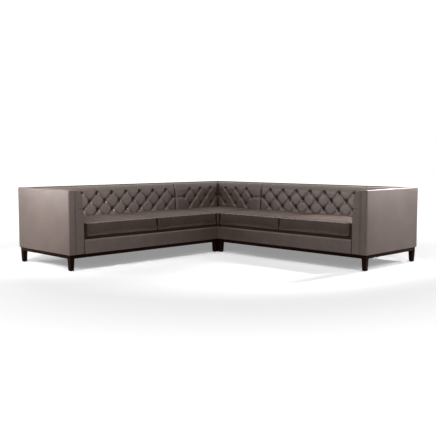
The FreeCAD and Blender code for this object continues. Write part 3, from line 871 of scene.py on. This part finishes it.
def seatCushion(name, low, high, radii):
    bottom, top = cushionShape["bottom"], cushionShape["bottom"] + cushionShape["height"]
    piece = addBlock(name, (*low, bottom), (*high, top))
    openMesh(piece, "FACE")
    bpy.ops.mesh.select_all(action="SELECT")
    bpy.ops.mesh.subdivide(number_cuts=cushionShape["cuts"])
    closeMesh()
    markBorder(piece)
    spots = np.empty(len(piece.data.vertices) * 3)
    piece.data.vertices.foreach_get("co", spots)
    spots = spots.reshape(-1, 3)
    x, y, z = spots[:, 0].copy(), spots[:, 1].copy(), spots[:, 2].copy()
    # squeeze the cuts towards the borders, where the rounding is
    for values, lowest, highest in ((x, low[0], high[0]), (y, low[1], high[1])):
        part = (values - lowest) / (highest - lowest) * 2 - 1
        part = 0.45 * part + 0.55 * np.sin(part * math.pi / 2)
        values[:] = lowest + (highest - lowest) * (part + 1) / 2
    midX, midY = (low[0] + high[0]) / 2, (low[1] + high[1]) / 2
    side = np.minimum(np.minimum(x - low[0], high[0] - x), np.minimum(y - low[1], high[1] - y))
    fromTop, fromBottom = top - z, z - bottom
    inset = np.zeros_like(x)
    lift = np.zeros_like(x)
    borders = ((fromTop, cushionShape["topRadius"], -1), (fromBottom, cushionShape["bottomRadius"], 1))
    for away, radius, sign in borders:
        qs = np.clip(1 - side / radius, 0, 1)
        qa = np.clip(1 - away / radius, 0, 1)
        size = np.maximum(np.hypot(qs, qa), 1e-9)
        scale = np.maximum(qs, qa) / size
        both = (qs > 0) & (qa > 0)
        inset += np.where(both, radius * (qs - qs * scale), 0)
        lift += np.where(both, sign * radius * (qa - qa * scale), 0)
    x, y = roundedPlan(x, y, low, high, radii)
    reachX, reachY = (high[0] - low[0]) / 2, (high[1] - low[1]) / 2
    partX, partY = (x - midX) / reachX, (y - midY) / reachY
    size = np.maximum(np.hypot(partX**7, partY**7), 1e-9)
    x = x - inset * partX**7 / size
    y = y - inset * partY**7 / size
    z = z + lift
    dome = np.clip(1 - partX**2, 0, 1) ** 0.5 * np.clip(1 - partY**2, 0, 1) ** 0.5
    upper = np.clip((z - bottom) / (top - bottom), 0, 1) ** 4
    z = z + cushionShape["crown"] * dome * upper
    swell = np.sin(np.clip((z - bottom) / (top - bottom), 0, 1) * math.pi)
    drawn = cushionShape["drawIn"] * np.clip(1 - partX**2, 0, 1) * 0.6
    y = y + np.sign(partY) * np.abs(partY) ** 8 * (cushionShape["sideSwell"] * swell - drawn)
    piece.data.vertices.foreach_set("co", np.stack((x, y, z), axis=1).ravel())
    piece.data.update()
    return piece


def markBorder(piece):
    # the cushion's top border, where the welt is sewn in
    border = piece.vertex_groups.new(name="border")
    spots = np.array([vert.co for vert in piece.data.vertices])
    high = spots.max(axis=0)
    low = spots.min(axis=0)
    near = 0.0001
    atSide = (np.minimum(spots[:, :2] - low[:2], high[:2] - spots[:, :2]) < near).any(axis=1)
    found = [int(number) for number in np.nonzero(atSide & (high[2] - spots[:, 2] < near))[0]]
    border.add(found, 1.0, "REPLACE")


def sewWelts(piece):
    # a piped welt that follows the border's own edges, made as a separate piece
    openMesh(piece, "VERT")
    mesh = bmesh.from_edit_mesh(piece.data)
    weights = mesh.verts.layers.deform.verify()
    slot = piece.vertex_groups["border"].index
    for vert in mesh.verts:
        vert.select_set(vert[weights].get(slot, 0) > 0.95)
    mesh.select_flush(True)
    bmesh.update_edit_mesh(piece.data)
    bpy.ops.mesh.select_mode(type="EDGE")
    bpy.ops.mesh.duplicate()
    bpy.ops.mesh.delete(type="ONLY_FACE")
    bpy.ops.mesh.separate(type="SELECTED")
    closeMesh()
    welt = [other for other in bpy.context.selected_objects if other is not piece][0]
    onlySelect(welt)
    bpy.ops.object.convert(target="CURVE")
    welt.data.bevel_depth = cushionShape["welt"]
    welt.data.bevel_resolution = 2
    bpy.ops.object.convert(target="MESH")
    welt.data.transform(Matrix.Translation((0, 0, cushionShape["weltLift"])))
    smoothByAngle(welt, 60)
    piece.vertex_groups.clear()
    welt.name = piece.name + "Welt"
    return welt


def swellCushion(piece):
    spots = np.array([vert.co for vert in piece.data.vertices])
    pressCloth(piece, spots[:, 2] < cushionShape["bottom"] + cushionCloth["pinnedHeight"])


def worldBox(s0, s1, t0, t1):
    low = (s0 - sofa["halfSide"], sofa["halfSide"] - t1)
    high = (s1 - sofa["halfSide"], sofa["halfSide"] - t0)
    return low, high


def sewnCushion(name, sides, radii):
    piece = seatCushion(name, *worldBox(*sides), radii)
    swellCushion(piece)
    refine(piece)
    smoothByAngle(piece, 60)
    return piece, sewWelts(piece)


def finishCushion(piece, welt, body, node):
    # the welt takes the lighter copy of the leather, a painted highlight
    finishPiece(welt, body, weltLeather)
    # the cushion takes the darker copy of the leather, painted shade
    finishPiece(piece, body, paintedShadeCushionLeather, [node])
    print("cushion:", piece.name, len(piece.data.polygons), "faces")


def makeCushions():
    # where each cushion starts and ends along the branch, and the radius of its front corner by the arm
    plain, byArm = cushionShape["corner"], cushionShape["armCorner"]
    back, front, seam = cushionShape["back"], cushionShape["front"], cushionShape["seam"]
    rows = [
        ("InnerSeatCushion", "inner_seat_cushion", "inner_cushion", (0.942, 1.819), plain),
        ("OuterSeatCushion", "outer_seat_cushion", "outer_cushion", (1.821, 2.728), byArm),
    ]
    for label, node, body, ends, armCorner in rows:
        radii = [
            ("low", "low", plain),
            ("high", "low", armCorner),
            ("low", "high", plain),
            ("high", "high", plain),
        ]
        piece, welt = sewnCushion("right" + label, (*ends, back, front), radii)
        twinWelt = mirrored(welt, "left" + label + "Welt")
        twin = mirrored(piece, "left" + label)
        finishCushion(piece, welt, "right_" + body, "right_" + node)
        finishCushion(twin, twinWelt, "left_" + body, "left_" + node)
    radii = [(first, second, plain) for first in ("low", "high") for second in ("low", "high")]
    corner, welt = sewnCushion("cornerSeatCushion", (back, seam, back, seam), radii)
    finishCushion(corner, welt, "corner_cushion", "corner_seat_cushion")


makeCushions()


# Outer covers: leather over boards

coverWall = 0.006
armCoverFacts = {"edge": 0.012, "segments": 5}
backCoverFacts = {"edge": 0.005, "segments": 4, "behindArmEnd": 2.9105}
railCoverFacts = {
    "end": 2.745,
    "rear": 0.925,
    "top": 0.292,
    "edge": 0.0145,
    "segments": 6,
    "rearInset": 0.002,
}


def openShell(piece, edgeTest, facts, openTest):
    # rounds the chosen edges, opens the faces that lie on other parts and thickens what is left
    bevelEdges(piece, edgeTest, facts["edge"], facts["segments"])
    openMesh(piece, "FACE")
    pick(piece, "FACE", openTest)
    bpy.ops.mesh.delete(type="FACE")
    closeMesh()
    wall = piece.modifiers.new("wall", "SOLIDIFY")
    wall.thickness = coverWall
    wall.offset = -1
    applyModifiers(piece)


def makeArmCover():
    low = place(sofa["armShell"], sofa["moduleDepth"], sofa["upholsteryBottom"])
    high = place(sofa["branchLength"], 0.0, sofa["height"])
    piece = addBlock("rightOuterArmCover", low, high)

    def outerEdges(centre, direction):
        marks = [meets(centre.x, high.x), meets(centre.y, low.y), meets(centre.z, high.z)]
        return marks.count(True) == 2

    def inwardFaces(centre, normal):
        return normal.x < -0.9 or normal.y > 0.9 or normal.z < -0.9

    openShell(piece, outerEdges, armCoverFacts, inwardFaces)
    smoothByAngle(piece, 40)
    finishBoth(piece, coverLeather, "right_outer_arm_cover")


def backShell(name, start, end):
    low = place(start, sofa["shell"], sofa["upholsteryBottom"])
    high = place(end, 0.0, sofa["height"])
    piece = addBlock(name, low, high)
    openShell(
        piece,
        lambda centre, direction: meets(centre.y, high.y) and meets(centre.z, high.z),
        backCoverFacts,
        lambda centre, normal: normal.y < -0.9 or abs(normal.x) > 0.9 or normal.z < -0.9,
    )
    return piece


def makeBackCovers():
    piece = backShell("rightOuterBackCover", sofa["endStart"], sofa["armShell"])
    low = place(sofa["armShell"], coverWall, sofa["upholsteryBottom"])
    high = place(backCoverFacts["behindArmEnd"], 0.0, sofa["height"] - coverWall)
    joinPieces([piece, addBlock("behindArm", low, high)], piece.name)
    smoothByAngle(piece, 40)
    finishBoth(piece, coverLeather, "right_outer_back_cover")
    corner = backShell("cornerRightCover", 0.0, sofa["cornerEnd"])
    cutAtMitre(corner, 0.0)
    whole = joinPieces([corner, mirrored(corner, "cornerLeftCover")], "cornerOuterBackCover")
    smoothByAngle(whole, 40)
    finishPiece(whole, "sofa", coverLeather, ["corner_outer_back_cover"])


def makeRailCovers():
    facts = railCoverFacts
    low = place(sofa["endStart"], sofa["moduleDepth"], sofa["upholsteryBottom"])
    high = place(facts["end"], facts["rear"], facts["top"])
    piece = addBlock("rightFrontRailCover", low, high)
    bevelEdges(
        piece,
        lambda centre, direction: meets(centre.y, low.y) and meets(centre.z, high.z),
        facts["edge"],
        facts["segments"],
    )
    openMesh(piece, "FACE")
    pick(piece, "FACE", lambda centre, normal: normal.y > 0.9)
    bpy.ops.mesh.inset(thickness=facts["rearInset"])
    closeMesh()
    smoothByAngle(piece, 40)
    finishBoth(piece, coverLeather, "right_front_rail_cover")


armFrontFacts = {
    "innerS": 2.745,
    "outerS": sofa["armShell"],
    "front": sofa["moduleDepth"],
    "rear": 0.925,
    "rows": 170,
    "columns": 30,
    "padRound": (0.012, 0.010),
    "shellRound": (0.006, 0.004),
    "setIn": 0.001,
}
# each mark's height or place, half width, depth and how far it runs out from the pad
pleatFacts = {"height": 0.587, "half": 0.0055, "depth": 0.008, "reach": 0.080}
swellFacts = {"height": 0.600, "half": 0.012, "depth": 0.002, "reach": 0.090}
seamFacts = {"inFromShell": 0.022, "half": 0.0040, "depth": 0.004}
pleatSag = {"depth": 0.004, "length": 0.04}


def padSetback(height):
    # how far the pad's outline leans back at each height
    lean, roll = padShape["lean"], padShape["roll"]
    leanStart, rollStart = padShape["leanStart"], padShape["rollStart"]
    rise = padShape["top"] - rollStart
    leaning = lean * (height - leanStart) / (rollStart - leanStart)
    rolling = lean + roll * (1 - np.sqrt(np.clip(1 - ((height - rollStart) / rise) ** 2, 0, 1)))
    return np.where(height < leanStart, 0.0, np.where(height < rollStart, leaning, rolling))


def acrossMark(height, out, facts):
    # a line across the panel that fades as it leaves the pad
    line = np.exp(-(((height - facts["height"]) / facts["half"]) ** 2))
    return line * np.clip(1 - out / facts["reach"], 0, 1)


def makeArmFronts():
    # a grid whose inner border follows the arm pad's outline, closed straight back to its rear
    facts = armFrontFacts
    bpy.ops.object.select_all(action="DESELECT")
    bpy.ops.mesh.primitive_grid_add(x_subdivisions=facts["columns"], y_subdivisions=facts["rows"], size=1)
    piece = bpy.context.object
    piece.name = "rightArmFrontPanel"
    spots = np.array([vert.co for vert in piece.data.vertices]) + 0.5
    height = sofa["upholsteryBottom"] + (padShape["top"] - sofa["upholsteryBottom"]) * spots[:, 1]
    inner = facts["innerS"] + padSetback(height)
    s = inner + (facts["outerS"] - inner) * spots[:, 0]
    t = facts["front"] - edgeDraw(s - inner, *facts["padRound"])
    t = t - edgeDraw(facts["outerS"] - s, *facts["shellRound"])
    sagging = height + pleatSag["depth"] * np.sin((s - inner) / pleatSag["length"])
    pleat = acrossMark(sagging, s - inner, pleatFacts)
    swollen = acrossMark(sagging, s - inner, swellFacts)
    seam = np.exp(-(((s - facts["outerS"] + seamFacts["inFromShell"]) / seamFacts["half"]) ** 2))
    t = t - pleatFacts["depth"] * pleat + swellFacts["depth"] * swollen - seamFacts["depth"] * seam
    t = t - facts["setIn"]
    piece.data.vertices.foreach_set("co", backToWorld(s, t, height).ravel())
    piece.data.update()
    closePad(piece, 1, sofa["halfSide"] - facts["rear"])
    outwards(piece)
    smoothByAngle(piece, 50)
    finishBoth(piece, coverLeather, "right_arm_front_panel")


makeArmCover()
makeBackCovers()
makeRailCovers()
makeArmFronts()
print("outer covers made")


# Timber base and legs

legFacts = {"top": 0.050, "foot": 0.040, "low": 0.004, "high": 0.119, "edge": 0.0025, "footBand": 0.010}
cornerLegPlaces = {"rearLeg": 0.035, "innerLeg": 0.905}
legPlaces = {
    "SeamFrontLeg": ("seam_front_leg", 0.956, 0.905),
    "SeamRearLeg": ("seam_rear_leg", 0.956, 0.035),
    "ArmFrontLeg": ("arm_front_leg", 2.882, 0.905),
    "ArmRearLeg": ("arm_rear_leg", 2.882, 0.035),
}


def makeLeg(name, s, t):
    centre = place(s, t, 0)
    half = legFacts["top"] / 2
    low = (centre.x - half, centre.y - half, legFacts["low"])
    high = (centre.x + half, centre.y + half, legFacts["high"])
    piece = addBlock(name, low, high)
    share = legFacts["foot"] / legFacts["top"]
    openMesh(piece, "FACE")
    pick(piece, "FACE", lambda middle, normal: normal.z < -0.9)
    bpy.ops.transform.resize(value=(share, share, 1), center_override=(centre.x, centre.y, legFacts["low"]))
    closeMesh()
    footBand = legFacts["footBand"]

    def uprightsAndFoot(middle, direction):
        return abs(direction.z) > 0.5 or middle.z < footBand

    bevelEdges(piece, uprightsAndFoot, legFacts["edge"], 3)
    smoothByAngle(piece, 40)
    return piece


def makeLegs():
    for label, (node, s, t) in legPlaces.items():
        finishBoth(makeLeg("right" + label, s, t), espressoWood, "right_" + node)
    corner = joinPieces([makeLeg(name, spot, spot) for name, spot in cornerLegPlaces.items()], "cornerLegs")
    finishPiece(corner, "sofa", espressoWood, ["corner_legs"])


plinthFacts = {
    "width": 0.070,
    "low": 0.119,
    "high": sofa["upholsteryBottom"],
    "edge": 0.0015,
    "rear": 0.010,
    "front": 0.930,
    "seam": 0.931,
    "armEnd": 2.907,
}


def makePlinth(name, start, end):
    facts = plinthFacts
    low = place(start, facts["front"], facts["low"])
    high = place(end, facts["rear"], facts["high"])
    piece = addBlock(name, low, high)
    openMesh(piece, "FACE")
    pick(piece, "FACE", lambda middle, normal: abs(normal.z) > 0.9)
    bpy.ops.mesh.inset(thickness=facts["width"])
    bpy.ops.mesh.bridge_edge_loops()
    closeMesh()
    bevelEdges(
        piece,
        lambda middle, direction: abs(direction.z) > 0.9 or meets(middle.z, facts["low"]),
        facts["edge"],
        2,
    )
    smoothByAngle(piece, 40)
    return piece


def makePlinths():
    end = makePlinth("rightPlinth", plinthFacts["seam"], plinthFacts["armEnd"])
    finishBoth(end, espressoWood, "right_plinth")
    corner = makePlinth("cornerPlinth", plinthFacts["rear"], plinthFacts["front"])
    finishPiece(corner, "sofa", espressoWood, ["corner_plinth"])


makeLegs()
makePlinths()
print("legs and base strips made")


# Floor, light and camera

stageFacts = {
    "floorSize": 60.0,
    "seenFloor": 0.9,
    "bouncingFloor": 0.30,
    "nearGlowPaintedShade": 0.28,
    "farLift": 1.0,
    "nearRadius": 2.0,
    "farRadius": 4.6,
    "softWorld": 0.27,
}


def cameraRays(tree):
    path = tree.nodes.new("ShaderNodeLightPath")
    seen = mathNode(tree, "ADD", path.outputs["Is Camera Ray"], path.outputs["Is Glossy Ray"], clamp=True)
    return mathNode(tree, "ADD", seen, path.outputs["Is Transmission Ray"], clamp=True)


def makeFloor():
    bpy.ops.object.select_all(action="DESELECT")
    bpy.ops.mesh.primitive_plane_add(size=stageFacts["floorSize"])
    floor = bpy.context.object
    floor.name = "floor"
    material = bpy.data.materials.new("paleFloor")
    material.use_nodes = True
    tree = material.node_tree
    tree.nodes.clear()
    output = tree.nodes.new("ShaderNodeOutputMaterial")
    diffuse = tree.nodes.new("ShaderNodeBsdfDiffuse")
    seen = cameraRays(tree)
    bounced = (*[stageFacts["bouncingFloor"]] * 3, 1)
    shown = (*[stageFacts["seenFloor"]] * 3, 1)
    tree.links.new(mixColour(tree, seen, bounced, shown), diffuse.inputs["Color"])
    middle = tree.nodes.new("ShaderNodeVectorMath")
    middle.operation = "LENGTH"
    tree.links.new(tree.nodes.new("ShaderNodeTexCoord").outputs["Object"], middle.inputs[0])
    near, far = stageFacts["nearRadius"], stageFacts["farRadius"]
    # the floor glows for camera rays: fully white far off as an even backdrop, and weaker near the sofa,
    # which paints shade around the sofa on top of its cast shadow
    lift = rangeNode(tree, middle.outputs["Value"], near, far, stageFacts["nearGlowPaintedShade"], stageFacts["farLift"])
    glow = tree.nodes.new("ShaderNodeEmission")
    glow.inputs["Color"].default_value = (1, 1, 1, 1)
    tree.links.new(mathNode(tree, "MULTIPLY", seen, lift), glow.inputs["Strength"])
    both = tree.nodes.new("ShaderNodeAddShader")
    tree.links.new(diffuse.outputs[0], both.inputs[0])
    tree.links.new(glow.outputs[0], both.inputs[1])
    tree.links.new(both.outputs[0], output.inputs["Surface"])
    floor.data.materials.append(material)


def makeWorld():
    world = bpy.data.worlds.new("studio")
    bpy.context.scene.world = world
    world.use_nodes = True
    tree = world.node_tree
    tree.nodes.clear()
    output = tree.nodes.new("ShaderNodeOutputWorld")
    seen = tree.nodes.new("ShaderNodeBackground")
    seen.inputs["Color"].default_value = (1, 1, 1, 1)
    seen.inputs["Strength"].default_value = 1.0
    soft = tree.nodes.new("ShaderNodeBackground")
    soft.inputs["Color"].default_value = (1, 1, 1, 1)
    soft.inputs["Strength"].default_value = stageFacts["softWorld"]
    mix = tree.nodes.new("ShaderNodeMixShader")
    tree.links.new(cameraRays(tree), mix.inputs[0])
    tree.links.new(soft.outputs[0], mix.inputs[1])
    tree.links.new(seen.outputs[0], mix.inputs[2])
    tree.links.new(mix.outputs[0], output.inputs["Surface"])


def softbox(name, spot, target, width, height, power, spread=180):
    light = bpy.data.lights.new(name, "AREA")
    light.shape = "RECTANGLE"
    light.size = width
    light.size_y = height
    light.energy = power
    light.spread = math.radians(spread)
    lamp = bpy.data.objects.new(name, light)
    bpy.context.collection.objects.link(lamp)
    lamp.location = spot
    lamp.rotation_euler = (Vector(target) - Vector(spot)).to_track_quat("-Z", "Y").to_euler()
    return lamp


def makeLights():
    # each lamp's place, what it faces, its width and height, watts and spread in degrees
    softbox("overhead", (0.1, -0.3, 4.2), (0, 0, 0.4), 4.5, 4.5, 66)
    softbox("leftNear", (-0.3, -3.0, 1.9), (-0.95, -1.46, 0.78), 0.8, 0.8, 8, 50)
    softbox("rightNear", (3.0, 0.3, 1.9), (1.46, 1.0, 0.75), 0.8, 0.8, 4, 50)
    softbox("leftSheen", (-3.0, -3.3, 1.4), (-0.8, -1.46, 0.7), 1.2, 1.0, 11, 80)
    softbox("rightSheen", (3.3, 3.0, 1.4), (1.46, 0.8, 0.7), 1.2, 1.0, 6, 80)
    softbox("rightRear", (1.5, 3.0, 2.4), (1.1, 0.82, 0.45), 0.7, 0.7, 10, 32)


cameraFacts = {"lens": 56.86, "sensor": 36.0, "spot": (5.0228, -5.0228, 1.071), "tiltDegrees": 4.96}


def makeCamera():
    camera = bpy.data.cameras.new("photoCamera")
    camera.lens = cameraFacts["lens"]
    camera.sensor_width = cameraFacts["sensor"]
    camera.dof.use_dof = False
    holder = bpy.data.objects.new("photoCamera", camera)
    bpy.context.collection.objects.link(holder)
    holder.location = cameraFacts["spot"]
    tilt = math.radians(cameraFacts["tiltDegrees"])
    ahead = Vector((-math.cos(tilt) / math.sqrt(2), math.cos(tilt) / math.sqrt(2), -math.sin(tilt)))
    holder.rotation_euler = ahead.to_track_quat("-Z", "Y").to_euler()
    bpy.context.scene.camera = holder


makeFloor()
makeWorld()
makeLights()
makeCamera()
bpy.context.scene.view_settings.view_transform = "Standard"
print("stage set")
